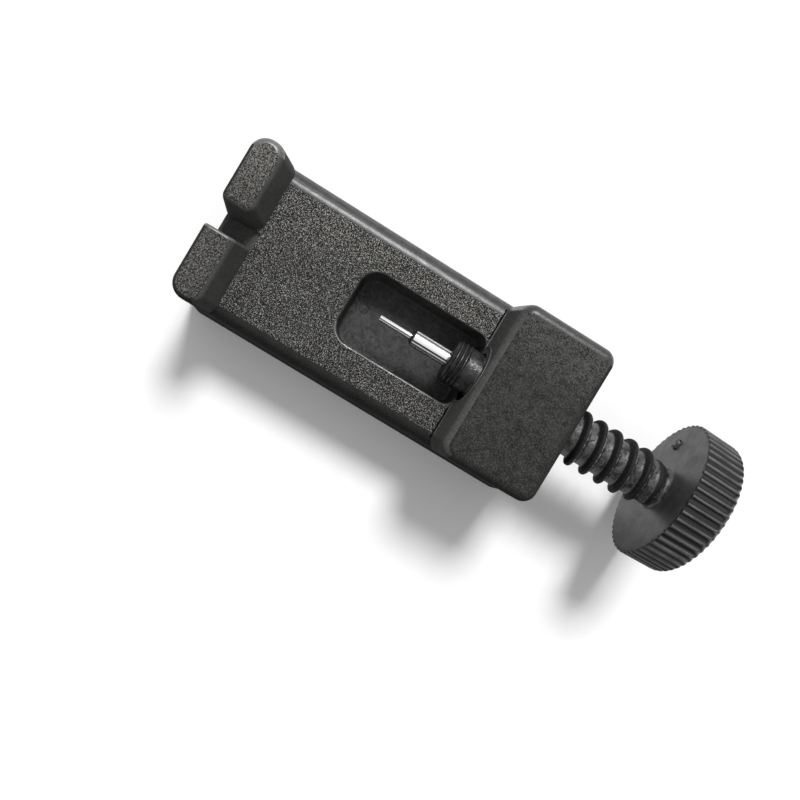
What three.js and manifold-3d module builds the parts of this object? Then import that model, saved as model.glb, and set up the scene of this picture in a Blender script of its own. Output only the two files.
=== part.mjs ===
// A small bench tool that presses the pins out of a watch band. The band lies on the deck of a
// plastic body, between two posts and a threaded block, and a thumbscrew drives a thin steel
// pin along the deck, against the band's pin and out through the gap between the posts.
//
// Millimetres. X runs along the tool from the posts to the knob, Y across it and Z up, with the
// body standing on Z = 0 and the origin under the middle of the whole tool.

import * as THREE from 'three';
import { mergeVertices } from 'three/addons/utils/BufferGeometryUtils.js';
import Module from 'manifold-3d';

const wasm = await Module();
wasm.setup();

// Body: outline, deck and the flare of its walls towards the foot.
const DECK_LENGTH = 50;
const DECK_WIDTH = 20.9;
const DECK_HEIGHT = 11.6;
const FOOT_FLARE = 0.64;
const DECK_EDGE_ROUND = 2;
const BODY_CORNER = 2.1;

// Posts: two of them, with the gap that the band's pin leaves through.
const POST_HEIGHT = 5.8;
const POST_FOOT = 5;
const POST_HEAD = 3.95;
const POST_LEAN = 0.12;
const POST_EDGE_ROUND = 0.55;
const POST_CORNER = 1.6;
const GAP_FOOT = 2.3;
const GAP_HEAD = 3.3;
const GAP_CORNER = 0.65;
const GAP_GROOVE_DEPTH = 0.3;

// Block: carries the threaded hole behind the link bed.
const LINK_BED = 31.3;
const BLOCK_HEIGHT = 6.7;
const BLOCK_LEAN = 0.8;
const BLOCK_SIDE_LEAN = 0.07;
const BLOCK_EDGE_ROUND = 1.3;
const BLOCK_CORNER = 1.75;

// Posts and block stand out past the edge of the deck by this much, and their sides run down to
// this depth below the deck, where they have merged into the flare of the walls.
const OVERHANG = 0.25;
const ROOT_DEPTH = 7.5;

// Pocket in the deck, ahead of the block.
const POCKET_LENGTH = 17.75;
const POCKET_WIDTH = 10;
const POCKET_DEPTH = 5.1;
const POCKET_DRAFT = 0.15;
const POCKET_FRONT_CORNER = 2.4;
const POCKET_REAR_CORNER = 1.3;
const POCKET_FLOOR_ROUND = 0.45;
const POCKET_END_LEDGE = 0.05;

// Hollow underside: three cells that keep the walls even.
const WALL = 2.1;
const RIB = 2;
const CELL_DRAFT = 0.35;
const CELL_CORNER = 1.4;

// Screw thread, shared by the thumbscrew and the hole in the block.
const AXIS_HEIGHT = 1.4;
const THREAD_PITCH = 2.3;
const THREAD_ROOT_RADIUS = 2.8;
const THREAD_HEIGHT = 0.83;
const THREAD_WIDTH = 1.3;
const THREAD_CLEARANCE = 0.3;
const HOLE_CHAMFER = 0.35;

// Thumbscrew, measured from the front face of its nose.
const NOSE_REACH = 3.55;
const SCREW_SHANK = 32;
const NOSE_CHAMFER = 0.4;
const NOSE_RING_HEIGHT = 0.12;
const NOSE_RING_WIDTH = 0.34;
const NOSE_RING_SPACING = 0.6;
const THREAD_START = 4.2;
const NECK = 0.8;
const KNOB_RADIUS = 9.52;
const KNOB_THICKNESS = 5.75;
const KNOB_TAPER = 0.15;
const KNOB_INNER_ROUND = 0.25;
const KNOB_OUTER_ROUND = 1.1;
const KNURL_DEPTH = 0.24;

// Steel pin and the holder that carries it in the nose of the screw.
const HOLDER_RADIUS = 1.05;
const HOLDER_REACH = 5.35;
const HOLDER_SEAT = 6.6;
const HOLDER_CONE = 0.4;
const HOLDER_EDGE = 0.12;
const PIN_RADIUS = 0.4;
const PIN_REACH = 4.5;
const PIN_SEAT = 3.6;
const PIN_TIP_CHAMFER = 0.08;
const TURNING_CLEARANCE = 0.2;
const SEATED_CLEARANCE = 0.12;

// Cuts run past the faces that they open by this much, and joined pieces sink in by it.
const OVERRUN = 1;

// Points closer together than this are one point.
const WELD = 1e-5;

// Counts and angles.
const CORNER_STEPS = 5;
const ROUND_STEPS = 3;
const SHAFT_SIDES = 20;
const THREAD_STEPS_PER_TURN = 20;
const NOSE_RINGS = 3;
const KNURL_RIBS = 54;
const THREAD_START_TURN_SHARE = 0.622;
const RUN_IN_TURNS = 0.5;
const RUN_OUT_TURNS = 1.4;

// The thread's ridge: shares of its half width and of its height above the root, from one foot,
// which is sunk in the shaft, over the crest to the other.
const RIDGE_WIDTH_SHARES = [-1.3, 1.3, 0.62, 0.28, -0.28, -0.62];
const RIDGE_HEIGHT_SHARES = [-0.5, -0.5, 0.62, 1, 1, 0.62];
const RIDGE_END_SHARE = -0.25;

// One rib of the knurl: shares of the rib's angle, and of the knurl's depth below the crest.
const RIB_ANGLE_SHARES = [0, 0.28, 0.62, 0.82];
const RIB_DEPTH_SHARES = [0.12, 0, 0.12, 1];

const blockFront = POST_FOOT + LINK_BED;
const halfDeck = DECK_WIDTH / 2;
const axisZ = DECK_HEIGHT + AXIS_HEIGHT;
const crestRadius = THREAD_ROOT_RADIUS + THREAD_HEIGHT;
const noseX = blockFront - NOSE_REACH;
const pocketFront = blockFront - POCKET_LENGTH;
const pocketFloor = DECK_HEIGHT - POCKET_DEPTH;
const knobBack = noseX + SCREW_SHANK + KNOB_THICKNESS;
const bodyFoot = { x0: -FOOT_FLARE, x1: DECK_LENGTH + FOOT_FLARE };
const middleX = (bodyFoot.x0 + knobBack) / 2;

// A closed solid from a geometry whose faces share their vertices.
function solidFrom(geometry) {
  geometry.deleteAttribute('normal');
  geometry.deleteAttribute('uv');
  const merged = mergeVertices(geometry, WELD);
  const index = merged.index.array;
  const kept = [];
  for (let i = 0; i < index.length; i += 3) {
    const [a, b, c] = [index[i], index[i + 1], index[i + 2]];
    if (a !== b && b !== c && c !== a) kept.push(a, b, c);
  }
  const vertProperties = new Float32Array(merged.attributes.position.array);
  const triVerts = new Uint32Array(kept);
  return new wasm.Manifold(new wasm.Mesh({ numProp: 3, vertProperties, triVerts }));
}

function geometryFrom(solid) {
  const { vertProperties, triVerts } = solid.getMesh();
  const geometry = new THREE.BufferGeometry();
  geometry.setAttribute('position', new THREE.BufferAttribute(new Float32Array(vertProperties), 3));
  geometry.setIndex(new THREE.BufferAttribute(new Uint32Array(triVerts), 1));
  geometry.computeVertexNormals();
  return geometry;
}

// A skin over rings of equally many points, closed by a fan at each end. Every ring runs
// anticlockwise as seen from the last ring.
function skin(rings) {
  const count = rings[0].length;
  const points = rings.flat();
  const index = [];
  for (let r = 0; r + 1 < rings.length; r++) {
    for (let k = 0; k < count; k++) {
      const next = (k + 1) % count;
      const [a, b] = [r * count + k, r * count + next];
      const [c, d] = [b + count, a + count];
      index.push(a, b, c, a, c, d);
    }
  }
  const closeEnd = (ring, first, facesForward) => {
    const middle = ring.reduce((sum, p) => sum.add(p), new THREE.Vector3()).divideScalar(count);
    const hub = points.push(middle) - 1;
    for (let k = 0; k < count; k++) {
      const [a, b] = [first + k, first + ((k + 1) % count)];
      index.push(hub, ...(facesForward ? [a, b] : [b, a]));
    }
  };
  closeEnd(rings[0], 0, false);
  closeEnd(rings.at(-1), (rings.length - 1) * count, true);
  const geometry = new THREE.BufferGeometry().setFromPoints(points);
  geometry.setIndex(index);
  return solidFrom(geometry);
}

// A solid of revolution about X from pairs of place and radius that start and end on the axis.
function turned(profile, sides = SHAFT_SIDES) {
  const points = profile.map(([x, radius]) => new THREE.Vector2(radius, x));
  const geometry = new THREE.LatheGeometry(points, sides);
  geometry.rotateZ(-Math.PI / 2);
  return solidFrom(geometry);
}

// A level rectangle with its own radius at each corner, in the order: low X and low Y, high X
// and low Y, high X and high Y, low X and high Y.
function levelRing({ x0, x1, y0, y1, z, corners }) {
  const places = [[x0, y0, 1, 1], [x1, y0, -1, 1], [x1, y1, -1, -1], [x0, y1, 1, -1]];
  return places.flatMap(([x, y, towardX, towardY], corner) => {
    const radius = corners[corner];
    const start = Math.PI + (corner * Math.PI) / 2;
    return Array.from({ length: CORNER_STEPS + 1 }, (_, step) => {
      const angle = start + (step / CORNER_STEPS) * (Math.PI / 2);
      return new THREE.Vector3(
        x + radius * (towardX + Math.cos(angle)),
        y + radius * (towardY + Math.sin(angle)),
        z,
      );
    });
  });
}

// The rectangle that lies a share of the way from one level to another.
function between(low, high, z) {
  const share = (z - low.z) / (high.z - low.z);
  const mix = (key) => THREE.MathUtils.lerp(low[key], high[key], share);
  return { x0: mix('x0'), x1: mix('x1'), y0: mix('y0'), y1: mix('y1'), z, corners: low.corners };
}

// A drafted block between two levels, with the top edge rounded.
function draftedBlock(low, high, round) {
  const rings = [levelRing(low)];
  for (let step = 0; step <= ROUND_STEPS; step++) {
    const angle = (step / ROUND_STEPS) * (Math.PI / 2);
    const level = between(low, high, high.z - round + round * Math.sin(angle));
    const inset = round * (1 - Math.cos(angle));
    rings.push(levelRing({
      ...level,
      x0: level.x0 + inset,
      x1: level.x1 - inset,
      y0: level.y0 + inset,
      y1: level.y1 - inset,
      corners: level.corners.map((radius) => radius - inset),
    }));
  }
  return skin(rings);
}

const evenCorners = (radius) => [radius, radius, radius, radius];

// The body's lower part, up to the deck.
function deckBlock() {
  const corners = evenCorners(BODY_CORNER);
  const halfFoot = halfDeck + FOOT_FLARE;
  const low = { ...bodyFoot, y0: -halfFoot, y1: halfFoot, z: 0, corners };
  const high = { x0: 0, x1: DECK_LENGTH, y0: -halfDeck, y1: halfDeck, z: DECK_HEIGHT, corners };
  return draftedBlock(low, high, DECK_EDGE_ROUND);
}

// A drafted block that stands on the deck and has its root in the body.
function rooted(foot, head, round) {
  const root = skin([levelRing({ ...foot, z: DECK_HEIGHT - ROOT_DEPTH }), levelRing(foot)]);
  return draftedBlock(foot, head, round).add(root);
}

// One post, on the side that the sign gives. Its outer corner follows the body's.
function post(side) {
  const outer = halfDeck + OVERHANG;
  const corners = side > 0
    ? [GAP_CORNER, GAP_CORNER, POST_CORNER, BODY_CORNER]
    : [BODY_CORNER, POST_CORNER, GAP_CORNER, GAP_CORNER];
  const span = (inner) => (side > 0 ? { y0: inner, y1: outer } : { y0: -outer, y1: -inner });
  const foot = { x0: -OVERHANG, x1: POST_FOOT, ...span(GAP_FOOT / 2), z: DECK_HEIGHT, corners };
  const head = {
    x0: POST_LEAN - OVERHANG,
    x1: POST_LEAN - OVERHANG + POST_HEAD,
    ...span(GAP_HEAD / 2),
    z: DECK_HEIGHT + POST_HEIGHT,
    corners,
  };
  return rooted(foot, head, POST_EDGE_ROUND);
}

// The block, whose front face goes on down as the end wall of the pocket.
function block() {
  const corners = evenCorners(BLOCK_CORNER);
  const half = halfDeck + OVERHANG;
  const foot = {
    x0: blockFront,
    x1: DECK_LENGTH + OVERHANG,
    y0: -half,
    y1: half,
    z: DECK_HEIGHT,
    corners,
  };
  const head = {
    x0: blockFront + BLOCK_LEAN,
    x1: DECK_LENGTH + OVERHANG - BLOCK_SIDE_LEAN,
    y0: -half + BLOCK_SIDE_LEAN,
    y1: half - BLOCK_SIDE_LEAN,
    z: DECK_HEIGHT + BLOCK_HEIGHT,
    corners,
  };
  return rooted(foot, head, BLOCK_EDGE_ROUND);
}

// What leaves the pocket open: a drafted well with a rounded edge to its floor.
function pocketCutter() {
  const half = POCKET_WIDTH / 2;
  const corners = [POCKET_FRONT_CORNER, POCKET_REAR_CORNER, POCKET_REAR_CORNER, POCKET_FRONT_CORNER];
  const mouth = {
    x0: pocketFront,
    x1: blockFront - POCKET_END_LEDGE,
    y0: -half,
    y1: half,
    z: DECK_HEIGHT,
    corners,
  };
  const insetBy = (level, inset, z) => ({
    x0: level.x0 + inset,
    x1: level.x1 - inset,
    y0: level.y0 + inset,
    y1: level.y1 - inset,
    z,
    corners: level.corners.map((radius) => radius - inset),
  });
  const rings = [];
  for (let step = 0; step <= ROUND_STEPS; step++) {
    const angle = (step / ROUND_STEPS) * (Math.PI / 2);
    const inset = POCKET_DRAFT + POCKET_FLOOR_ROUND * (1 - Math.sin(angle));
    rings.push(insetBy(mouth, inset, pocketFloor + POCKET_FLOOR_ROUND * (1 - Math.cos(angle))));
  }
  rings.push(mouth, { ...mouth, z: DECK_HEIGHT + POST_HEIGHT });
  return skin(rings.map(levelRing));
}

// The shallow groove between the posts, which ends on the deck just past their feet.
function gapGroove() {
  const half = GAP_FOOT / 2;
  const end = POST_FOOT + GAP_GROOVE_DEPTH;
  const cornerX = end - GAP_CORNER;
  const cornerY = half - GAP_CORNER;
  const shape = new THREE.Shape();
  shape.moveTo(-OVERRUN, -half);
  shape.lineTo(cornerX, -half);
  shape.absarc(cornerX, -cornerY, GAP_CORNER, -Math.PI / 2, 0, false);
  shape.absarc(cornerX, cornerY, GAP_CORNER, 0, Math.PI / 2, false);
  shape.lineTo(-OVERRUN, half);
  shape.closePath();
  const geometry = new THREE.ExtrudeGeometry(shape, {
    depth: GAP_GROOVE_DEPTH + POST_HEIGHT,
    bevelEnabled: false,
    curveSegments: CORNER_STEPS + CORNER_STEPS,
  });
  geometry.translate(0, 0, DECK_HEIGHT - GAP_GROOVE_DEPTH);
  return solidFrom(geometry);
}

// One cell of the hollow underside, from X0 to X1 at the foot and up to the given height.
function cellCutter(x0, x1, top) {
  const half = halfDeck + FOOT_FLARE - WALL;
  const corners = evenCorners(CELL_CORNER);
  const slope = CELL_DRAFT / top;
  const at = (z) => ({
    x0: x0 + slope * z,
    x1: x1 - slope * z,
    y0: -half + slope * z,
    y1: half - slope * z,
    z,
    corners,
  });
  return skin([at(-OVERRUN), at(top)].map(levelRing));
}

// The cells lie under the open deck, under the pocket and under the block.
function undersideCutters() {
  const frontRib = pocketFront - RIB / 2;
  const rearRib = blockFront - RIB / 2;
  const holeBottom = axisZ - crestRadius - THREAD_CLEARANCE;
  return [
    cellCutter(bodyFoot.x0 + WALL, frontRib - RIB / 2, DECK_HEIGHT - WALL),
    cellCutter(frontRib + RIB / 2, rearRib, pocketFloor - WALL),
    cellCutter(rearRib + RIB, bodyFoot.x1 - WALL, holeBottom - WALL),
  ];
}

// A ridge wound round X as a right-hand thread, sunk into the shaft that carries it. Its height
// grows from nothing over the first turns and fades over the last ones.
function threadRidge({ start, end, startTurn, grow, runIn, runOut }) {
  const turns = (end - start) / THREAD_PITCH;
  const steps = Math.ceil(turns * THREAD_STEPS_PER_TURN);
  const halfWidth = THREAD_WIDTH / 2 + grow;
  const footRadius = THREAD_ROOT_RADIUS + grow;
  const rings = [];
  for (let step = 0; step <= steps; step++) {
    const turn = (step / steps) * turns;
    const rise = Math.min(1, turn / runIn, (turns - turn) / runOut);
    const crest = THREE.MathUtils.lerp(RIDGE_END_SHARE, 1, rise);
    const angle = (startTurn + turn) * Math.PI * 2;
    const x = start + turn * THREAD_PITCH;
    const place = (along, radius) => new THREE.Vector3(
      x + along,
      radius * Math.cos(angle),
      radius * Math.sin(angle),
    );
    rings.push(RIDGE_WIDTH_SHARES.map((share, k) => {
      const height = THREAD_HEIGHT * RIDGE_HEIGHT_SHARES[k];
      return place(halfWidth * share, footRadius + (height > 0 ? crest * height : height));
    }));
  }
  return skin(rings);
}

// The threaded hole through the block, in step with the thread of the screw at rest.
function holeCutter() {
  const radius = THREAD_ROOT_RADIUS + THREAD_CLEARANCE;
  const rim = crestRadius + THREAD_CLEARANCE + HOLE_CHAMFER;
  const front = blockFront - OVERRUN;
  const back = DECK_LENGTH + FOOT_FLARE + OVERRUN;
  const shaft = turned([[front, 0], [front, radius], [back, radius], [back, 0]]);
  const turnsBack = Math.ceil((noseX + THREAD_START - front) / THREAD_PITCH) + 1;
  const thread = threadRidge({
    start: noseX + THREAD_START - turnsBack * THREAD_PITCH,
    end: back + THREAD_PITCH,
    startTurn: THREAD_START_TURN_SHARE,
    grow: THREAD_CLEARANCE,
    runIn: RUN_IN_TURNS,
    runOut: RUN_IN_TURNS,
  });
  const outerRim = DECK_LENGTH + OVERHANG;
  const countersink = turned([
    [outerRim - rim, 0],
    [outerRim + OVERRUN, rim + OVERRUN],
    [outerRim + OVERRUN, 0],
  ]);
  return shaft.add(thread).add(countersink).translate([0, 0, axisZ]);
}

function bodyGeometry() {
  let solid = deckBlock().subtract(pocketCutter());
  solid = solid.add(post(1)).add(post(-1)).add(block());
  solid = solid.subtract(gapGroove());
  for (const cell of undersideCutters()) solid = solid.subtract(cell);
  return geometryFrom(solid.subtract(holeCutter()));
}

// The round of the knob's rim at one place along it: ribs whose grooves have the given depth.
function knurledRing(x, radius, depth) {
  const ring = [];
  for (let rib = 0; rib < KNURL_RIBS; rib++) {
    RIB_ANGLE_SHARES.forEach((share, k) => {
      const angle = ((rib + share) / KNURL_RIBS) * Math.PI * 2;
      const r = radius - depth * RIB_DEPTH_SHARES[k];
      ring.push(new THREE.Vector3(x, r * Math.cos(angle), r * Math.sin(angle)));
    });
  }
  return ring;
}

// The knob, tapered a little and rounded at its outer edge, where the knurl fades out.
function knob() {
  const front = SCREW_SHANK;
  const back = SCREW_SHANK + KNOB_THICKNESS;
  const rimEnd = back - KNOB_OUTER_ROUND;
  const backRadius = KNOB_RADIUS - KNOB_TAPER;
  const rings = [
    knurledRing(front, KNOB_RADIUS - KNOB_INNER_ROUND, KNURL_DEPTH - KNOB_INNER_ROUND / 2),
    knurledRing(front + KNOB_INNER_ROUND, KNOB_RADIUS, KNURL_DEPTH),
  ];
  for (let step = 0; step <= ROUND_STEPS; step++) {
    const angle = (step / ROUND_STEPS) * (Math.PI / 2);
    const inset = KNOB_OUTER_ROUND * (1 - Math.cos(angle));
    const x = rimEnd + KNOB_OUTER_ROUND * Math.sin(angle);
    rings.push(knurledRing(x, backRadius - inset, KNURL_DEPTH * Math.cos(angle)));
  }
  return skin(rings);
}

// The shank: nose with fine rings, then the plain core of the thread, up into the knob.
function shank() {
  const root = THREAD_ROOT_RADIUS;
  const profile = [[0, 0], [0, root - NOSE_CHAMFER], [NOSE_CHAMFER, root]];
  for (let ring = 0; ring < NOSE_RINGS; ring++) {
    const x = NOSE_CHAMFER + NOSE_RING_SPACING * (ring + 0.5);
    profile.push([x - NOSE_RING_WIDTH / 2, root]);
    profile.push([x, root + NOSE_RING_HEIGHT]);
    profile.push([x + NOSE_RING_WIDTH / 2, root]);
  }
  const end = SCREW_SHANK + OVERRUN;
  profile.push([end, root], [end, 0]);
  return turned(profile);
}

// The hole in the nose that takes the holder of the pin.
function holderSocket() {
  const radius = HOLDER_RADIUS + TURNING_CLEARANCE;
  const depth = HOLDER_SEAT + TURNING_CLEARANCE;
  return turned([
    [-OVERRUN, 0],
    [-OVERRUN, radius],
    [depth, radius],
    [depth + radius / 2, 0],
  ]);
}

function thumbscrewGeometry() {
  const thread = threadRidge({
    start: THREAD_START,
    end: SCREW_SHANK - NECK,
    startTurn: THREAD_START_TURN_SHARE,
    grow: 0,
    runIn: RUN_IN_TURNS,
    runOut: RUN_OUT_TURNS,
  });
  return geometryFrom(shank().add(thread).add(knob()).subtract(holderSocket()));
}

// The holder, measured like the screw from the face of the nose, with a cone at the pin.
function pinHolderGeometry() {
  const front = -HOLDER_REACH;
  const mouth = PIN_RADIUS + SEATED_CLEARANCE;
  const depth = front + PIN_SEAT + SEATED_CLEARANCE;
  const body = turned([
    [front, 0],
    [front, mouth + HOLDER_EDGE],
    [front + HOLDER_CONE, HOLDER_RADIUS],
    [HOLDER_SEAT - HOLDER_EDGE, HOLDER_RADIUS],
    [HOLDER_SEAT, HOLDER_RADIUS - HOLDER_EDGE],
    [HOLDER_SEAT, 0],
  ]);
  const bore = turned([
    [front - OVERRUN, 0],
    [front - OVERRUN, mouth],
    [depth, mouth],
    [depth + mouth / 2, 0],
  ]);
  return geometryFrom(body.subtract(bore));
}

function pusherPinGeometry() {
  const front = -HOLDER_REACH - PIN_REACH;
  const end = -HOLDER_REACH + PIN_SEAT;
  return geometryFrom(turned([
    [front, 0],
    [front, PIN_RADIUS - PIN_TIP_CHAMFER],
    [front + PIN_TIP_CHAMFER, PIN_RADIUS],
    [end, PIN_RADIUS],
    [end, 0],
  ]));
}

function piece(name, geometry, look) {
  const mesh = new THREE.Mesh(geometry, new THREE.MeshStandardMaterial(look));
  mesh.name = name;
  return mesh;
}

const blackPlastic = { color: 0x35353a, roughness: 0.62, metalness: 0 };
const brightSteel = { color: 0xd9dadc, roughness: 0.18, metalness: 1 };

const tool = new THREE.Group();
tool.position.x = -middleX;
tool.add(piece('body', bodyGeometry(), blackPlastic));

const screwLine = new THREE.Group();
screwLine.position.set(noseX, 0, axisZ);
screwLine.add(
  piece('thumbscrew', thumbscrewGeometry(), { ...blackPlastic, roughness: 0.5 }),
  piece('pin_holder', pinHolderGeometry(), brightSteel),
  piece('pusher_pin', pusherPinGeometry(), brightSteel),
);
tool.add(screwLine);

export default tool;
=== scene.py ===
import math

import bmesh
import bpy
from mathutils import Matrix, Vector


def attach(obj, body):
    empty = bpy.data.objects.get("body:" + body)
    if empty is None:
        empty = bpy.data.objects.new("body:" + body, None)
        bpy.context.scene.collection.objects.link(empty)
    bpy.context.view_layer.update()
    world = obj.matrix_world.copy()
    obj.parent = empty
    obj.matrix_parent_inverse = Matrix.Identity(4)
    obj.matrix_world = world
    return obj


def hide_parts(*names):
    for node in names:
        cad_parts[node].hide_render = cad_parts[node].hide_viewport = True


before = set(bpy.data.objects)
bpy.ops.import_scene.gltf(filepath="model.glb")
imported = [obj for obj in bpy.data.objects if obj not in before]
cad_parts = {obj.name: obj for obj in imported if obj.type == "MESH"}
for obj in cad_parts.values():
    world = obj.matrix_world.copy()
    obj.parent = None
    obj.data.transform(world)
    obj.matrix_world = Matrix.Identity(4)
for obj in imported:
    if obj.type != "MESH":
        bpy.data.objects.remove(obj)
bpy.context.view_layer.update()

# Sizes are in millimetres. X is measured from the front edge of the deck, and the body stands
# on Z = 0. A finished piece is brought to metres and to the frame's origin in one step.
MM = 0.001
FRONT_EDGE_TO_ORIGIN = 34.93

# Body
DECK_LENGTH = 50
HALF_DECK = 10.45
DECK_TOP = 11.6
FOOT_FLARE = 0.64
BODY_CORNER = 2.1
DECK_EDGE_ROUND = 2
OVERHANG = 0.25
ROOT_DEPTH = 7.5

# Posts
POST_TOP = DECK_TOP + 5.8
POST_FOOT_END = 5
POST_HEAD_START = -0.13
POST_HEAD_END = 3.82
GAP_FOOT = 1.15
GAP_HEAD = 1.65
GAP_CORNER = 0.35
ROUNDED_GAP_CORNERS = (1.35, 1.1)
POST_CORNER = 1.6
POST_EDGE_ROUND = 1
POST_EDGE_STEPS = 8
GAP_FLOOR = DECK_TOP - 0.3
GAP_RUN_OUT = 0.1

# Screw block
BLOCK_FRONT = 36.3
BLOCK_TOP = DECK_TOP + 6.7
BLOCK_LEAN = 0.8
BLOCK_SIDE_LEAN = 0.07
BLOCK_EDGE_ROUND = 1.3
BLOCK_CORNER = 1.75
SEAM_WIDTH = 0.2
SEAM_DEPTH = 0.3
SEAM_ABOVE_DECK = 0.05
FLASH_WIRE = 0.12
FLASH_OUT = 0.07
FLASH_UP = 0.4
FLASH_SHORT_OF_SIDE = 1.5
HOLE_FLASH_WIRE = 0.075
HOLE_FLASH_GAP = 0.32

# Pocket
POCKET_FRONT = 18.55
POCKET_BACK = 36.25
HALF_POCKET = 5
POCKET_FLOOR = 6.5
POCKET_DRAFT = 0.15
POCKET_FRONT_CORNER = 2.4
POCKET_BACK_CORNER = 1.3
POCKET_FLOOR_ROUND = 0.45
RIM_ROUND = 0.22
# The pocket's rim is painted pale as a highlight only on the -Y side, up to this y.
PAINTED_HIGHLIGHT_RIM_UP_TO = -3.2

# Hollow underside
WALL_THICKNESS = 2.1
HALF_RIB = 1
CELL_DRAFT = 0.35
CELL_CORNER = 1.4
CELL_TOP_ROUND = 0.5
CELL_TOPS = (9.5, 4.4, 6.97)
CELL_BOTTOM = -1

# Screw line
AXIS_HEIGHT = 13
THREAD_PITCH = 2.3
ROOT_RADIUS = 2.8
CREST_RADIUS = 3.63
THREAD_PLAY = 0.22
HOLE_CHAMFER = 0.35
BORE_START = BLOCK_FRONT - 1.5
BORE_END = DECK_LENGTH + 2
CREST_AT_ZERO_TURN = 37.819
THREAD_FADES_IN = (36.7, 37.8)
THREAD_FADES_OUT = (61.0, 64.2)
CREST_FOOT_HEIGHT = 0.06
CREST_EDGE_HEIGHT = 0.3
CREST_EDGE_FROM = 0.13
CREST_EDGE_TO = 0.34
SHANK_START = 35.9
SHANK_END = 64.1
NOSE = 32.75
NOSE_RINGS = 3
NOSE_RINGS_FROM = NOSE + 0.4
NOSE_RING_PITCH = 0.6
NOSE_RINGS_TO = 35.4
SOCKET_RADIUS = 1.25
SOCKET_CHAMFER = 0.08
SOCKET_DEPTH = 6.8
SOCKET_CONE_TIP = 7.4

# Knob
KNOB_FACE = 64.75
KNOB_BACK = 70.5
KNOB_RADIUS = 9.52
KNOB_TAPER = 0.15
KNOB_EDGE_ROUND = 1.1
KNURL_DEPTH = 0.3
KNURL_FADE = 0.7
RIBS = 54
FRONT_ROW_INSET = 0.14
FRONT_ROW_DEPTH = 0.5
FACE_RADII = (8.8, 2.2)
BACK_RADIUS = 7.8
DIMPLE_RADIUS = 1.2
DIMPLE_FLOOR_RADIUS = 1.05
DIMPLE_DEPTH = 0.15

# Marks of the mould
GATE_RADIUS = 0.65
GATE_TOP_RADIUS = GATE_RADIUS * 0.7
GATE_HEIGHT = 0.35
GATE_ROUND = 0.1
GATE_TORN = 0.3
GATE_STRETCH = 1.5
GATE_PLACE = (6.35, 11.2)
MARK_WIRE = 0.06
ROOT_MARK_RADIUS = 0.42
ROOT_MARKS = [(53.02, 72), (62.22, 76)]
FLOOR_MARK_RADIUS = 0.6
FLOOR_MARK_PLACE = (20.5, 0.6)

# Holder and pin
HOLDER_RADIUS = 1.05
HOLDER_FRONT = NOSE - 5.35
HOLDER_BACK = NOSE + 6.6
HOLDER_BORE_DEPTH = 3.6
PIN_RADIUS = 0.4
PIN_FIT = 0.1
PIN_TIP = HOLDER_FRONT - 4.5
PIN_BACK = NOSE - 1.75

# Distances within which points are one, and a hair's width to look or cut past a face.
WELD = 1e-4
KNURL_WELD = 1e-3
THREAD_WELD = 0.004
HAIR = 0.01

# An edge that turns more than this stays sharp in the shading.
SHARP_ABOVE = math.radians(38)

# How far a face's normal points to a side before the face leans there, faces there, or is square.
LEANS = 0.1
FACES = 0.3
SQUARE = 0.5

# Lamp, sky, paper and camera. The lens is measured in pixels of a picture PICTURE_WIDTH wide.
WINDOW = (-0.06, 0.77, 1)
WINDOW_STRENGTH = 2.78
WINDOW_SOFTNESS = 17
SKY_TOWARD = (0, 0.4, 1)
SKY_AT_FLOOR = 0.12
SKY_AS_LIGHT = 0.48
PAPER_HALF_WIDTH = 3000
PAPER_AS_LIGHT = 0.4
PAPER_GLOW = 0.1
PICTURE_WIDTH = 800
FOCAL_LENGTH = 764.006
PICTURE_CENTRE = (391.487, 439.696)
SENSOR_WIDTH = 36
CAMERA_PLACE = (23.33, -10.532, 108.29)
CAMERA_TURNS = (-3.57546, -3.91354, 31.08685)

# Half of the thread's outline, from the middle of the crest to the middle of the root.
THREAD_OUTLINE = [
    (0, CREST_RADIUS), (0.13, 3.625), (0.24, 3.58), (0.33, 3.48), (0.41, 3.3), (0.52, 3.02),
    (0.6, 2.89), (0.7, 2.82), (0.84, ROOT_RADIUS), (THREAD_PITCH / 2, ROOT_RADIUS),
]

# One rib of the knurl: share of the rib's angle, and share of the knurl's depth below its crest.
RIB_OUTLINE = [
    (0, 0.3), (0.05, 0.1), (0.11, 0), (0.21, 0), (0.27, 0.1), (0.32, 0.3),
    (0.41, 0.8), (0.49, 1), (0.83, 1), (0.91, 0.8), (1, 0.3),
]

# Rows of the knurl behind the knob's face: x from the face, inset, share of the knurl's depth.
KNURL_START = [(0.07, 0.03, 0.75), (0.2, 0, 1)]

# One ring on the nose, from back to front: x from its middle, height over the root.
NOSE_RING_OUTLINE = [
    (0.24, 0), (0.16, 0.02), (0.06, 0.13), (-0.02, 0.15), (-0.1, 0.12), (-0.14, -0.02),
    (-0.2, -0.08), (-0.27, -0.04),
]

# The rounded end of the nose: x from the end, height over the root.
NOSE_END_OUTLINE = [(0.42, 0), (0.2, -0.12), (0.06, -0.28), (0, -0.42)]

# The fillet from the shank into the knob: x, height over the root.
FILLET_OUTLINE = [(64.4, 0.02), (64.6, 0.1), (64.72, 0.25), (64.8, 0.4), (65.15, 0.4)]

# Material numbers on the body, the screw and the holder.
GRAIN, POST, FINE, SMOOTH, RIM, FLASH, EDGE, WALL, FLANK, SEAM = range(10)
ROOT, NOSE_SKIN, CREST, CREST_EDGE, KNOB = range(5)
GROUND, TURNED_END = range(2)


# Modelling helpers

def shift(bm, x, y, z):
    """Moves a whole shape."""
    bmesh.ops.translate(bm, verts=bm.verts[:], vec=(x, y, z))


def rotate(bm, degrees, axis):
    """Turns a whole shape about an axis through the origin."""
    bmesh.ops.rotate(
        bm, verts=bm.verts[:], cent=(0, 0, 0),
        matrix=Matrix.Rotation(math.radians(degrees), 3, axis),
    )


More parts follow.
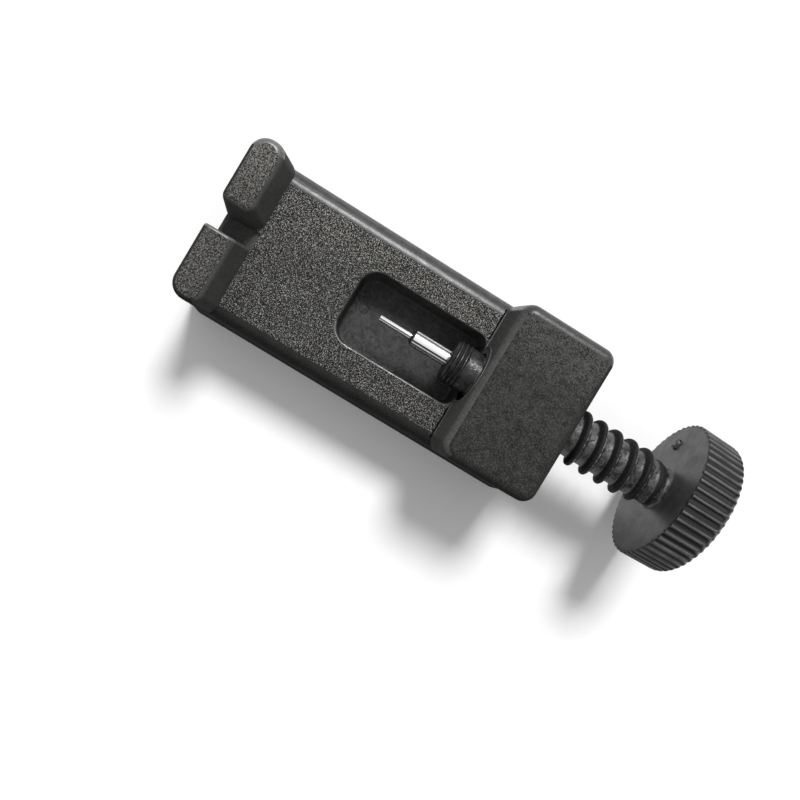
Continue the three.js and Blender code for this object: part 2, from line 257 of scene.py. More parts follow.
def bevel(bm, edges, width, steps):
    """Rounds edges. The width is the radius where they meet at a right angle."""
    bmesh.ops.bevel(
        bm, geom=edges, offset=width, offset_type="OFFSET", segments=steps, profile=0.5,
        affect="EDGES", clamp_overlap=True, material=-1,
    )


def drafted_block(low, high, corners, top_round=0, steps=8):
    """A block whose outline changes from low to high. Outlines are (x0, x1, y0, y1, z), and
    corners are radii in the order front -Y, back -Y, back +Y, front +Y."""
    bm = bmesh.new()
    bmesh.ops.create_cube(bm, size=1)
    for v in bm.verts:
        x0, x1, y0, y1, z = high if v.co.z > 0 else low
        v.co = (x1 if v.co.x > 0 else x0, y1 if v.co.y > 0 else y0, z)
    middle_x, middle_y = (low[0] + low[1]) / 2, (low[2] + low[3]) / 2
    signs = [(-1, -1), (1, -1), (1, 1), (-1, 1)]
    for (sx, sy), radius in zip(signs, corners):
        edge = [
            e for e in bm.edges
            if all((v.co.x - middle_x) * sx > 0 and (v.co.y - middle_y) * sy > 0 for v in e.verts)
            and abs(e.verts[0].co.z - e.verts[1].co.z) > 0.5 * abs(high[4] - low[4])
        ]
        bevel(bm, edge, radius, steps)
    if top_round:
        end = max(bm.faces, key=lambda f: f.calc_center_median().z)
        bevel(bm, end.edges[:], top_round, 6)
    return bm


def turned(stations, sides):
    """A body of revolution about the screw's axis, from (x, radius) stations. The first and
    the last lie on the axis."""
    bm = bmesh.new()
    line = [bm.verts.new((x, r, 0)) for x, r in stations]
    edges = [bm.edges.new(pair) for pair in zip(line, line[1:])]
    bmesh.ops.spin(
        bm, geom=line + edges, cent=(0, 0, 0), axis=(1, 0, 0), dvec=(0, 0, 0),
        angle=math.tau, steps=sides, use_merge=True, use_duplicate=False,
    )
    bmesh.ops.remove_doubles(bm, verts=bm.verts[:], dist=WELD)
    bmesh.ops.recalc_face_normals(bm, faces=bm.faces[:])
    shift(bm, 0, 0, AXIS_HEIGHT)
    return bm


def carry_on(bm, loop, stations):
    """Carries an open round edge loop on through (x, radius) stations, and gives the last loop."""
    for x, radius in stations:
        out = bmesh.ops.extrude_edge_only(bm, edges=loop)["geom"]
        for v in (g for g in out if isinstance(g, bmesh.types.BMVert)):
            painted_light_across = Vector((0, v.co.y, v.co.z)).normalized() * radius
            v.co = (x, painted_light_across.y, painted_light_across.z)
        loop = [g for g in out if isinstance(g, bmesh.types.BMEdge) and g.is_boundary]
    return loop


def close(bm, loop):
    """Fills an open edge loop with one face."""
    bmesh.ops.contextual_create(bm, geom=loop)


def threaded_rod(start, end, grow=0, fade_in=None, fade_out=None, steps=56):
    """The open skin of a right-hand thread about X, cut off square at both ends."""
    half = [(x, r + grow) for x, r in THREAD_OUTLINE]
    outline = [(-x, r) for x, r in reversed(half[1:])] + half
    turns = math.ceil((end - start) / THREAD_PITCH) + 2
    first = start - THREAD_PITCH
    bm = bmesh.new()
    line = [bm.verts.new((first + x, r, 0)) for x, r in outline]
    edges = [bm.edges.new(pair) for pair in zip(line, line[1:])]
    turn = (first - CREST_AT_ZERO_TURN) / THREAD_PITCH * math.tau
    bmesh.ops.rotate(bm, verts=line, cent=(0, 0, 0), matrix=Matrix.Rotation(turn, 3, "X"))
    bmesh.ops.spin(
        bm, geom=line + edges, cent=(0, 0, 0), axis=(1, 0, 0),
        dvec=(THREAD_PITCH / steps, 0, 0), angle=math.tau * turns, steps=turns * steps,
        use_merge=False, use_duplicate=False,
    )
    bmesh.ops.remove_doubles(bm, verts=bm.verts[:], dist=THREAD_WELD)
    root = ROOT_RADIUS + grow
    for v in bm.verts:
        share = 1
        if fade_in:
            share = min(share, (v.co.x - fade_in[0]) / (fade_in[1] - fade_in[0]))
        if fade_out:
            share = min(share, (fade_out[1] - v.co.x) / (fade_out[1] - fade_out[0]))
        share = max(share, 0)
        radius = math.hypot(v.co.y, v.co.z)
        scale = (root + (radius - root) * share) / radius
        v.co.y *= scale
        v.co.z *= scale
    for x, side in ((start, -1), (end, 1)):
        bmesh.ops.bisect_plane(
            bm, geom=bm.verts[:] + bm.edges[:] + bm.faces[:], plane_co=(x, 0, 0),
            plane_no=(side, 0, 0), clear_outer=True,
        )
    return bm


def past_crest(place):
    """How far a point lies from the nearest crest of the thread, along the axis to the knob."""
    turn = math.atan2(place.z, place.y) / math.tau
    pitches = (place.x - CREST_AT_ZERO_TURN) / THREAD_PITCH - turn
    return (pitches - round(pitches)) * THREAD_PITCH


def end_loop(bm, x):
    """The open edges of a rod at the end that lies at x."""
    return [
        e for e in bm.edges
        if e.is_boundary and all(abs(v.co.x - x) < HAIR for v in e.verts)
    ]


def paint(bm, number):
    """Gives every face of a shape one material number."""
    for face in bm.faces:
        face.material_index = number
    return bm


def joined(*parts):
    """Several shapes as one, each with its material numbers."""
    whole = bmesh.new()
    for part in parts:
        mesh = bpy.data.meshes.new("part")
        part.to_mesh(mesh)
        part.free()
        whole.from_mesh(mesh)
        bpy.data.meshes.remove(mesh)
    return whole


def combined(base, tool, how):
    """The union or difference of two closed shapes, with each face's material number kept."""
    things = []
    for bm in (base, tool):
        mesh = bpy.data.meshes.new("shape")
        bm.to_mesh(mesh)
        bm.free()
        for _ in range(SEAM + 1):
            mesh.materials.append(None)
        thing = bpy.data.objects.new("shape", mesh)
        bpy.context.scene.collection.objects.link(thing)
        things.append(thing)
    step = things[0].modifiers.new("step", "BOOLEAN")
    step.operation = how
    step.object = things[1]
    step.solver = "EXACT"
    graph = bpy.context.evaluated_depsgraph_get()
    mesh = bpy.data.meshes.new_from_object(things[0].evaluated_get(graph))
    result = bmesh.new()
    result.from_mesh(mesh)
    bpy.data.meshes.remove(mesh)
    for thing in things:
        mesh = thing.data
        bpy.data.objects.remove(thing)
        bpy.data.meshes.remove(mesh)
    return result


def finished(name, bm, materials):
    """Makes the piece's object: smooth shading, sharp edges kept, flat faces kept flat."""
    bm.transform(Matrix.Scale(MM, 4) @ Matrix.Translation((-FRONT_EDGE_TO_ORIGIN, 0, 0)))
    for face in bm.faces:
        face.smooth = True
    for edge in bm.edges:
        if len(edge.link_faces) == 2:
            edge.smooth = edge.calc_face_angle(0) < SHARP_ABOVE
    mesh = bpy.data.meshes.new(name)
    bm.to_mesh(mesh)
    bm.free()
    for material in materials:
        mesh.materials.append(material)
    piece = bpy.data.objects.new(name, mesh)
    bpy.context.scene.collection.objects.link(piece)
    even = piece.modifiers.new("even_shading", "WEIGHTED_NORMAL")
    even.keep_sharp = True
    even.weight = 80
    return piece


# Materials

def feed(tree, socket, value):
    """Links another node's output to a socket, or sets the socket to a plain value."""
    if isinstance(value, bpy.types.NodeSocket):
        tree.links.new(value, socket)
    else:
        socket.default_value = value


def add_node(tree, kind, inputs=None, **settings):
    """A new node of a tree, with its inputs fed and its settings made."""
    node = tree.nodes.new(kind)
    for key, value in settings.items():
        setattr(node, key, value)
    for key, value in (inputs or {}).items():
        feed(tree, node.inputs[key], value)
    return node


class Recipe:
    """A material under construction: short calls for the nodes that the finishes share."""

    def __init__(self, name):
        self.material = bpy.data.materials.new(name)
        self.material.use_nodes = True
        self.tree = self.material.node_tree
        self.shader = self.tree.nodes["Principled BSDF"]
        self.place = self.tree.nodes.new("ShaderNodeTexCoord").outputs["Object"]

    def node(self, kind, inputs=None, **settings):
        return add_node(self.tree, kind, inputs, **settings)

    def noise(self, size_mm, detail=2, rough=0.5, place=None, **inputs):
        """Soft noise whose waves are about size_mm long."""
        values = {"Vector": place or self.place, "Scale": 1 / (size_mm * MM), "Detail": detail,
                  "Roughness": rough}
        values.update(inputs)
        return self.node("ShaderNodeTexNoise", values).outputs["Fac"]

    def cells(self, size_mm):
        """Distance from the middle of cells that are about size_mm wide."""
        values = {"Vector": self.place, "Scale": 1 / (size_mm * MM)}
        return self.node("ShaderNodeTexVoronoi", values).outputs["Distance"]

    def spread(self, value, low, high, to_low=0, to_high=1):
        """The value stretched from low..high to to_low..to_high, and held there past the ends."""
        values = {"Value": value, "From Min": low, "From Max": high, "To Min": to_low,
                  "To Max": to_high}
        return self.node("ShaderNodeMapRange", values, clamp=True).outputs["Result"]

    def painted_light_across(self, low_mm, high_mm, to_low, to_high):
        """A value that changes over the width: painted light, lighter towards the +Y side, where
        the lamp stands.
        """
        y = self.node("ShaderNodeSeparateXYZ", {"Vector": self.place}).outputs["Y"]
        return self.spread(y, low_mm * MM, high_mm * MM, to_low, to_high)

    def along(self, low_mm, high_mm, to_low, to_high):
        """A value that changes over the length, measured from the front edge of the deck."""
        x = self.node("ShaderNodeSeparateXYZ", {"Vector": self.place}).outputs["X"]
        ends = [(mm - FRONT_EDGE_TO_ORIGIN) * MM for mm in (low_mm, high_mm)]
        return self.spread(x, *ends, to_low, to_high)

    def step(self, kind, a, b=0):
        """One step of arithmetic. The kind is the name of the step."""
        return self.node("ShaderNodeMath", {0: a, 1: b}, operation=kind).outputs[0]

    def blend(self, share, dark, light):
        """A colour between two others."""
        node = self.node("ShaderNodeMix", data_type="RGBA")
        self.tree.links.new(share, node.inputs["Factor"])
        for key, value in (("A", dark), ("B", light)):
            socket = [s for s in node.inputs if s.name == key and s.type == "RGBA"][0]
            plain = isinstance(value, tuple)
            feed(self.tree, socket, (*value, 1) if plain else value)
        return [s for s in node.outputs if s.type == "RGBA"][0]

    def about_axis(self):
        """Distance from the screw's axis in millimetres, and turn about it from +Y in degrees."""
        centred = self.node("ShaderNodeMapping", {
            "Vector": self.place, "Location": (0, 0, -AXIS_HEIGHT), "Scale": (0, 1 / MM, 1 / MM),
        }).outputs["Vector"]
        away = self.node("ShaderNodeVectorMath", {0: centred}, operation="LENGTH").outputs["Value"]
        parts = self.node("ShaderNodeSeparateXYZ", {"Vector": centred}).outputs
        turn = self.step("ARCTAN2", parts["Z"], parts["Y"])
        return away, self.step("MULTIPLY", turn, 180 / math.pi)

    def stripes(self, value, *places):
        """1 on each stripe, and 0 between them. A stripe is its middle and half its width."""
        total = 0
        for middle, half in places:
            off = self.step("ABSOLUTE", self.step("SUBTRACT", value, middle))
            total = self.step("MAXIMUM", self.spread(off, half * 0.5, half, 1, 0), total)
        return total

    def bump(self, height, depth_mm, below=None):
        """Unevenness up to depth_mm high, on top of the one below."""
        values = {"Height": height, "Distance": depth_mm * MM}
        if below is not None:
            values["Normal"] = below
        return self.node("ShaderNodeBump", values).outputs["Normal"]

    def give(self, **inputs):
        """Sets the shader's own inputs, with _ for a space in their names."""
        for key, value in inputs.items():
            feed(self.tree, self.shader.inputs[key.replace("_", " ")], value)
        return self.material


def coarse_grain(name, size, low, high, light):
    """Near-black plastic with the coarse sparkling grain of a spark-eroded mould. The grain
    goes from black at low to the colour light at high."""
    r = Recipe(name)
    coarse = r.noise(size, 3, 0.7)
    pits = r.cells(size)
    cloud = r.noise(5.5, 2)
    grain = r.step("ADD", coarse, r.step("MULTIPLY", pits, 0.5))
    tone = r.step("MULTIPLY", r.spread(grain, low, high), r.spread(cloud, 0.3, 0.7, 0.75, 1))
    # Painted light: the grain's tone rises towards the +Y side, where the lamp is.
    tone = r.step("MULTIPLY", tone, r.painted_light_across(1, 9.5, 0.92, 1.5))
    return r.give(
        Base_Color=r.blend(tone, (0.005, 0.005, 0.0047), (light * 1.02, light, light * 0.94)),
        Roughness=r.spread(grain, 0.5, 0.95, 0.75, 0.45),
        Normal=r.bump(grain, 0.1),
        Specular_IOR_Level=0.25,
    )


def fine_grain():
    """The same plastic with a finer, softer grain, as on top of the screw block."""
    r = Recipe("black_plastic_fine_grain")
    fine = r.noise(0.16, 3, 0.65)
    patch = r.noise(0.9, 3, 0.55)
    cloud = r.noise(7, 2)
    tone = r.step("ADD", r.spread(fine, 0.46, 0.66, 0, 0.75), r.spread(patch, 0.35, 0.65, 0, 0.15))
    tone = r.step("ADD", tone, r.spread(cloud, 0.35, 0.65, 0, 0.1))
    # Painted light: the tone rises towards the +Y side, where the lamp is.
    tone = r.step("MULTIPLY", tone, r.painted_light_across(2.5, 9, 0.9, 2.3))
    soft = r.bump(patch, 0.05)
    return r.give(
        Base_Color=r.blend(tone, (0.002, 0.002, 0.0019), (0.088, 0.088, 0.082)),
        Roughness=r.spread(patch, 0.3, 0.7, 0.7, 0.55),
        Normal=r.bump(fine, 0.04, below=soft),
        Specular_IOR_Level=0.2,
    )


def smooth_mottled():
    """The same plastic off a plain mould face, as in the pocket, the bore and underneath."""
    r = Recipe("black_plastic_mottled")
    patch = r.noise(1.0, 4, 0.65, Distortion=1.5)
    fine = r.noise(0.22, 2)
    tone = r.step("ADD", r.spread(patch, 0.37, 0.66, 0, 0.65), r.spread(fine, 0.35, 0.65, 0, 0.35))
    soft = r.bump(patch, 0.03)
    return r.give(
        Base_Color=r.blend(tone, (0.004, 0.004, 0.004), (0.042, 0.042, 0.041)),
        Roughness=r.spread(patch, 0.3, 0.7, 0.75, 0.55),
        Normal=r.bump(fine, 0.012, below=soft),
        Specular_IOR_Level=0.5,
    )


def shut_line():
    """The narrow groove between block and deck, painted near-black for the shade in it, where no
    light gets in.
    """
    r = Recipe("black_shut_line_painted_shade")
    dust = r.noise(0.3, 2)
    return r.give(
        Base_Color=r.blend(r.spread(dust, 0.4, 0.7), (0.002, 0.002, 0.002), (0.008, 0.008, 0.008)),
        Roughness=r.spread(dust, 0.3, 0.7, 0.85, 1),
        Specular_IOR_Level=0.05,
    )


def pale_painted_highlight(name, fades=None):
    """Plastic painted pale as a highlight, with scuffed unevenness. It may fade out over a stretch
    of the body's length.
    """
    r = Recipe(name)
    scuff = r.noise(0.6, 3)
    highlight_share = r.spread(scuff, 0.3, 0.7, 0.4, 1)
    if fades:
        highlight_share = r.step("MULTIPLY", highlight_share, r.along(*fades, 1, 0))
    return r.give(
        Base_Color=r.blend(highlight_share, (0.01, 0.01, 0.01), (0.13, 0.13, 0.128)),
        Roughness=r.spread(highlight_share, 0, 1, 0.7, 0.28),
        Normal=r.bump(scuff, 0.01),
        Specular_IOR_Level=1.0,
    )


def smooth_edge():
    """The same plastic on the rounded edges that a palm rubs smooth."""
    r = Recipe("black_plastic_smooth_edge")
    patch = r.noise(1.2, 3, 0.55)
    fine = r.noise(0.3, 2)
    tone = r.step("ADD", r.spread(patch, 0.35, 0.65, 0, 0.6), r.spread(fine, 0.3, 0.7, 0, 0.4))
    soft = r.bump(patch, 0.02)
    return r.give(
        Base_Color=r.blend(tone, (0.026, 0.026, 0.0265), (0.068, 0.068, 0.069)),
        Roughness=r.spread(patch, 0.3, 0.7, 0.38, 0.3),
        Normal=r.bump(fine, 0.008, below=soft),
        Specular_IOR_Level=0.45,
    )


def matt_wall(name, light):
    """The same plastic on the drafted walls: fine grain, with faint drag lines from the mould."""
    r = Recipe(name)
    drawn = r.node("ShaderNodeMapping", {"Vector": r.place, "Scale": (1, 1, 0.15)})
    drag = r.noise(0.3, place=drawn.outputs["Vector"])
    fine = r.noise(0.17, 3, 0.6)
    patch = r.noise(2.5, 3, 0.5)
    tone = r.step("ADD", r.spread(fine, 0.38, 0.66, 0, 0.6), r.spread(drag, 0.35, 0.65, 0, 0.2))
    tone = r.step("ADD", tone, r.spread(patch, 0.3, 0.7, 0, 0.2))
    soft = r.bump(drag, 0.01)
    return r.give(
        Base_Color=r.blend(tone, (light * 0.4,) * 3, (light * 0.9, light * 0.9, light * 0.87)),
        Roughness=r.spread(patch, 0.3, 0.7, 0.95, 0.85),
        Normal=r.bump(fine, 0.02, below=soft),
        Specular_IOR_Level=0.05,
    )


def screw_gloss(name, light, uneven):
    """Half-shiny plastic in the roots of the thread and on the nose, uneven by so many mm."""
    r = Recipe(name)
    patch = r.noise(0.95, 3, 0.6, Distortion=1.6)
    fine = r.noise(0.2, 2)
    tone = r.step("ADD", r.spread(patch, 0.42, 0.6, 0, 0.8), r.spread(fine, 0.35, 0.65, 0, 0.2))
    soft = r.bump(patch, uneven)
    return r.give(
        Base_Color=r.blend(tone, (0.002, 0.002, 0.002), (light, light, light * 0.98)),
        Roughness=r.spread(patch, 0.4, 0.62, 0.28, 0.5),
        Normal=r.bump(fine, 0.02, below=soft),
        Specular_IOR_Level=0.55,
    )


def crest_painted_shade():
    """The crest and flanks of the thread: painted near-black as shade, and nearly matt."""
    r = Recipe("black_plastic_crest")
    fine = r.noise(0.3, 3)
    return r.give(
        Base_Color=r.blend(r.spread(fine, 0.3, 0.7), (0.006, 0.006, 0.006), (0.018, 0.018, 0.018)),
        Roughness=r.spread(fine, 0.3, 0.7, 0.75, 0.6),
        Normal=r.bump(fine, 0.01),
        Specular_IOR_Level=0.2,
    )


def crest_edge_painted_highlight():
    """The edge of the crest on the knob's side, painted pale as a highlight."""
    r = Recipe("black_plastic_crest_edge")
    scuff = r.noise(0.5, 3)
    return r.give(
        Base_Color=r.blend(r.spread(scuff, 0.42, 0.62), (0.02, 0.02, 0.02), (0.24, 0.24, 0.235)),
        Roughness=r.spread(scuff, 0.3, 0.7, 0.5, 0.35),
        Normal=r.bump(scuff, 0.02),
        Specular_IOR_Level=0.5,
    )


def knob_satin():
    """Satin plastic of the knob. The grooves of the knurl are painted dark as shade; the flat face
    and the ridges keep the plain tone."""
    r = Recipe("black_plastic_satin")
    patch = r.noise(2.2, 3, 0.55)
    fine = r.noise(0.2, 2)
    tone = r.step("ADD", r.spread(patch, 0.35, 0.65, 0, 0.7), r.spread(fine, 0.35, 0.65, 0, 0.3))
    # Painted shade: the grooves of the knurl go dark, the face and the ridges keep the tone.
    taper = r.along(KNOB_FACE + KNURL_START[-1][0], KNOB_BACK - KNOB_EDGE_ROUND, 0, KNOB_TAPER)
    out = r.step("ADD", r.about_axis()[0], taper)
    face = r.spread(out, KNOB_RADIUS - 0.5, KNOB_RADIUS - 0.36, 1, 0)
    ridge = r.spread(out, KNOB_RADIUS - 0.2, KNOB_RADIUS - 0.06)
    outside_groove_shade = r.step("MAXIMUM", face, ridge)
    tone = r.step("MULTIPLY", r.step("ADD", r.step("MULTIPLY", tone, 0.7), 0.3), outside_groove_shade)
    soft = r.bump(patch, 0.02)
    return r.give(
        Base_Color=r.blend(tone, (0.005, 0.005, 0.005), (0.118, 0.118, 0.117)),
        Roughness=r.spread(patch, 0.3, 0.7, 0.4, 0.3),
        Normal=r.bump(fine, 0.01, below=soft),
        Specular_IOR_Level=0.5,
    )


def ground_steel(name, drawn, painted_reflection_lines, matt_lines):
    """Bright steel with lengthwise lines: the dark ones are painted reflections of dark
    surroundings, the matt ones are rougher. A line is its middle and half its width, in degrees
    about the axis from +Y."""
    r = Recipe(name)
    stretched = r.node("ShaderNodeMapping", {"Vector": r.place, "Scale": (0.02, 1, 1)})
    lines = r.noise(0.4, place=stretched.outputs["Vector"])
    dull = r.noise(0.8, 3)
    turn = r.about_axis()[1]
    # Painted reflection: dark bands at set angles about the axis.
    dark = r.stripes(turn, *painted_reflection_lines)
    matt = r.stripes(turn, *matt_lines)
    bright = r.blend(r.spread(lines, 0.35, 0.6), (drawn, drawn, drawn * 1.01), (0.96, 0.96, 0.96))
    return r.give(
        Base_Color=r.blend(dark, bright, (0.04, 0.04, 0.04)),
        Metallic=1.0,
        Roughness=r.step("ADD", r.spread(dull, 0.3, 0.7, 0.1, 0.18), r.step("MULTIPLY", matt, 0.5)),
    )


def turned_steel():
    """Dull steel with the rings of the turning tool, on the front end of the holder."""
    r = Recipe("dull_turned_steel")
    ring_width = 0.06
    rings = r.step("PINGPONG", r.about_axis()[0], ring_width)
    dull = r.noise(0.4, 3)
    return r.give(
        Base_Color=r.blend(r.spread(dull, 0.3, 0.7), (0.09, 0.09, 0.09), (0.2, 0.2, 0.2)),
        Metallic=1.0,
        Roughness=r.spread(rings, 0, ring_width, 0.3, 0.42),
    )


def floor_paper():
    """White paper under the tool: it keeps the shadow and is white where nothing shades it."""
    r = Recipe("white_paper")
    grain = r.noise(2.5, 4)
    path = r.node("ShaderNodeLightPath").outputs
    white = r.blend(r.spread(grain, 0.3, 0.7), (0.93, 0.93, 0.93), (0.96, 0.96, 0.96))
    r.give(
        Base_Color=r.blend(path["Is Diffuse Ray"], white, (PAPER_AS_LIGHT,) * 3),
        Roughness=0.9,
        Specular_IOR_Level=0.1,
    )
    seen = r.step("MAXIMUM", path["Is Camera Ray"], path["Is Glossy Ray"])
    seen = r.step("MAXIMUM", seen, path["Is Transmission Ray"])
    glow = r.node("ShaderNodeEmission", {
        "Color": (1, 1, 1, 1), "Strength": r.step("MULTIPLY", seen, PAPER_GLOW),
    })
    both = r.node("ShaderNodeAddShader", {0: r.shader.outputs[0], 1: glow.outputs[0]})
    out = r.tree.nodes["Material Output"]
    r.tree.links.new(both.outputs[0], out.inputs["Surface"])
    return r.material


# Pieces

def deck_with_pocket():
    """The low part of the body, its sides leaning in towards the deck, and the pocket in it."""
    wide = HALF_DECK + FOOT_FLARE
    deck = paint(drafted_block(
        (-FOOT_FLARE, DECK_LENGTH + FOOT_FLARE, -wide, wide, 0),
        (0, DECK_LENGTH, -HALF_DECK, HALF_DECK, DECK_TOP),
        [BODY_CORNER] * 4, DECK_EDGE_ROUND, 10,
    ), WALL)
    topped(deck, GRAIN, flat=0.985)
    for face in deck.faces:
        # Painted light: the front wall gets the lighter wall plastic.
        if face.normal.x < -LEANS and face.normal.z > LEANS:
            face.material_index = FLANK
    half = HALF_POCKET - POCKET_DRAFT
    well = drafted_block(
        (POCKET_FRONT + POCKET_DRAFT, POCKET_BACK - POCKET_DRAFT, -half, half, POCKET_FLOOR),
        (POCKET_FRONT, POCKET_BACK, -HALF_POCKET, HALF_POCKET, DECK_TOP - RIM_ROUND),
        [POCKET_FRONT_CORNER, POCKET_BACK_CORNER, POCKET_BACK_CORNER, POCKET_FRONT_CORNER],
    )
    floor = min(well.faces, key=lambda f: f.calc_center_median().z)
    bevel(well, floor.edges[:], POCKET_FLOOR_ROUND, 5)
    paint(well, SMOOTH)
    well.normal_update()
    # Painted light: the pocket's +Y wall, in shade, gets the lighter wall plastic in place of fill
    # light.
    for face in well.faces:
        if face.normal.y > FACES:
            face.material_index = FLANK
    well = flared(well, RIM_ROUND, 6)
    # Painted highlight: the pale rim stays only on the -Y side, which faces the lamp; the rest of
    # the rim gets the pocket's plastic.
    for face in well.faces:
        if face.material_index == RIM and face.calc_center_median().y > PAINTED_HIGHLIGHT_RIM_UP_TO:
            face.material_index = SMOOTH
    return combined(deck, well, "DIFFERENCE")


def flared(bm, radius, steps):
    """Carries a well's mouth up and outwards, so that the rim that it cuts comes out rounded."""
    bm.normal_update()
    mouth = max(bm.faces, key=lambda f: f.calc_center_median().z)
    start, outward = {}, {}
    for v in mouth.verts:
        side = sum((f.normal for f in v.link_faces if f is not mouth), Vector())
        start[v], outward[v] = v.co.copy(), Vector((side.x, side.y, 0)).normalized()
    turns = [k / steps * math.pi / 2 for k in range(1, steps + 1)]
    stations = [(radius * (1 - math.cos(turn)), radius * math.sin(turn)) for turn in turns]
    for out, up in stations + [(radius, radius + 1)]:
        made = bmesh.ops.extrude_face_region(bm, geom=[mouth])["geom"]
        bmesh.ops.delete(bm, geom=[mouth], context="FACES_ONLY")
        ring = [g for g in made if isinstance(g, bmesh.types.BMVert)]
        below = [next(e.other_vert(v) for e in v.link_edges if e.other_vert(v) in start)
                 for v in ring]
        start = {v: start[old] for v, old in zip(ring, below)}
        outward = {v: outward[old] for v, old in zip(ring, below)}
        for v in ring:
            v.co = start[v] + outward[v] * out + Vector((0, 0, up))
            for face in v.link_faces:
                face.material_index = RIM
        mouth = next(g for g in made if isinstance(g, bmesh.types.BMFace))
    bmesh.ops.recalc_face_normals(bm, faces=bm.faces[:])
    return bm


def topped(bm, number, flat, rubbed=EDGE, above=0):
    """Gives faces that look up more than flat their own finish, and the rounds on the +Y side,
    towards the lamp, from the height above upwards, a finish of their own: by default the glossier
    edge plastic; the posts pass a pale one, a painted highlight."""
    for face in bm.faces:
        high = face.calc_center_median().z > above
        if high and face.normal.z > LEANS and face.normal.y > LEANS:
            face.material_index = rubbed
        elif face.normal.z > flat:
            face.material_index = number
    return bm


def rooted(bm):
    """Carries a block's foot straight down into the body."""
    foot = min(bm.faces, key=lambda f: f.calc_center_median().z)
    out = bmesh.ops.extrude_face_region(bm, geom=[foot])["geom"]
    verts = [g for g in out if isinstance(g, bmesh.types.BMVert)]
    bmesh.ops.translate(bm, verts=verts, vec=(0, 0, -ROOT_DEPTH))
    bmesh.ops.delete(bm, geom=[foot], context="FACES_ONLY")
    return bm


def post(side):
    """A bar rounded along its top. It ends at the gap in a crisp edge on the -Y side and in a
    well rounded one on the +Y side."""
    outer = HALF_DECK + OVERHANG
    crisp = side < 0
    bm = drafted_block(
        (-OVERHANG, POST_FOOT_END, -outer, -GAP_FOOT, DECK_TOP),
        (POST_HEAD_START, POST_HEAD_END, -outer, -GAP_HEAD, POST_TOP),
        [BODY_CORNER, POST_CORNER] + ([] if crisp else list(ROUNDED_GAP_CORNERS)),
    )
    top = max(bm.faces, key=lambda f: f.calc_center_median().z)
    reach = -GAP_HEAD - HAIR if crisp else 0
    rim = [e for e in top.edges if any(v.co.y < reach for v in e.verts)]
    bevel(bm, rim, POST_EDGE_ROUND, POST_EDGE_STEPS)
    if crisp:
        end = max(bm.faces, key=lambda f: f.calc_center_median().y)
        rim = [e for e in end.edges if any(v.co.z > DECK_TOP + HAIR for v in e.verts)]
        bevel(bm, rim, GAP_CORNER, 5)
    bm = rooted(paint(bm, WALL))
    if side > 0:
        bmesh.ops.scale(bm, vec=(1, -1, 1), verts=bm.verts[:])
        bmesh.ops.reverse_faces(bm, faces=bm.faces[:])
    bm.normal_update()
    # Painted light: flanks facing +X and the faces towards the gap get the lighter wall plastic.
    for face in bm.faces:
        if face.normal.x > SQUARE or face.normal.y * side < -FACES:
            face.material_index = FLANK
    # The rounds on the +Y side near the top are painted pale as a highlight.
    return topped(bm, POST, flat=0.8, rubbed=FLASH, above=POST_TOP - POST_EDGE_ROUND)


def screw_block():
    """The high block that carries the screw, before its hole is cut."""
    half = HALF_DECK + OVERHANG
    back = DECK_LENGTH + OVERHANG
    bm = paint(rooted(drafted_block(
        (BLOCK_FRONT, back, -half, half, DECK_TOP),
        (BLOCK_FRONT + BLOCK_LEAN, back - BLOCK_SIDE_LEAN,
         -half + BLOCK_SIDE_LEAN, half - BLOCK_SIDE_LEAN, BLOCK_TOP),
        [BLOCK_CORNER] * 4, BLOCK_EDGE_ROUND, 10,
    )), WALL)
    bm.normal_update()
    # Painted light: the leaning front face gets the lighter wall plastic.
    for face in bm.faces:
        if face.normal.x < -LEANS:
            face.material_index = FLANK
    return topped(bm, FINE, flat=0.9)


def seam(side):
    """The fine groove along the foot of the block, beside the pocket."""
    inner, outer = sorted((side * HALF_POCKET, side * (HALF_DECK + 1)))
    return paint(drafted_block(
        (BLOCK_FRONT - SEAM_WIDTH, BLOCK_FRONT, inner, outer, DECK_TOP - SEAM_DEPTH),
        (BLOCK_FRONT - SEAM_WIDTH, BLOCK_FRONT, inner, outer, DECK_TOP + SEAM_ABOVE_DECK), [],
    ), SEAM)


def gap_groove():
    """The shallow groove in the deck between the posts, open at the front. It gets the lighter wall
    plastic, painted light in the shadow of the post.
    """
    end = POST_FOOT_END + GAP_RUN_OUT
    return paint(drafted_block(
        (-1, end, -GAP_FOOT, GAP_FOOT, GAP_FLOOR), (-1, end, -GAP_FOOT, GAP_FOOT, POST_TOP + 1),
        [HAIR, GAP_CORNER, GAP_CORNER, HAIR],
    ), FLANK)


def cell(x0, x1, top):
    """One hollow of the underside, drawn on through the foot with the same lean."""
    half = HALF_DECK + FOOT_FLARE - WALL_THICKNESS
    more = CELL_DRAFT / top
    bm = drafted_block(
        (x0 - more, x1 + more, -half - more, half + more, CELL_BOTTOM),
        (x0 + CELL_DRAFT, x1 - CELL_DRAFT, -half + CELL_DRAFT, half - CELL_DRAFT, top),
        [CELL_CORNER] * 4, CELL_TOP_ROUND,
    )
    return paint(bm, SMOOTH)


def bore():
    """The threaded hole as a solid to cut with. It runs out past both ends of the block."""
    rod = threaded_rod(BORE_START, BORE_END, grow=THREAD_PLAY, steps=36)
    close(rod, end_loop(rod, BORE_START))
    close(rod, end_loop(rod, BORE_END))
    bmesh.ops.recalc_face_normals(rod, faces=rod.faces[:])
    shift(rod, 0, 0, AXIS_HEIGHT)
    return paint(rod, SMOOTH)


def countersink():
    """The cone that chamfers the hole's back mouth."""
    rim = CREST_RADIUS + THREAD_PLAY + HOLE_CHAMFER
    outer = DECK_LENGTH + OVERHANG
    return paint(turned([(outer - rim, 0), (outer + 1, rim + 1), (outer + 1, 0)], 96), FINE)


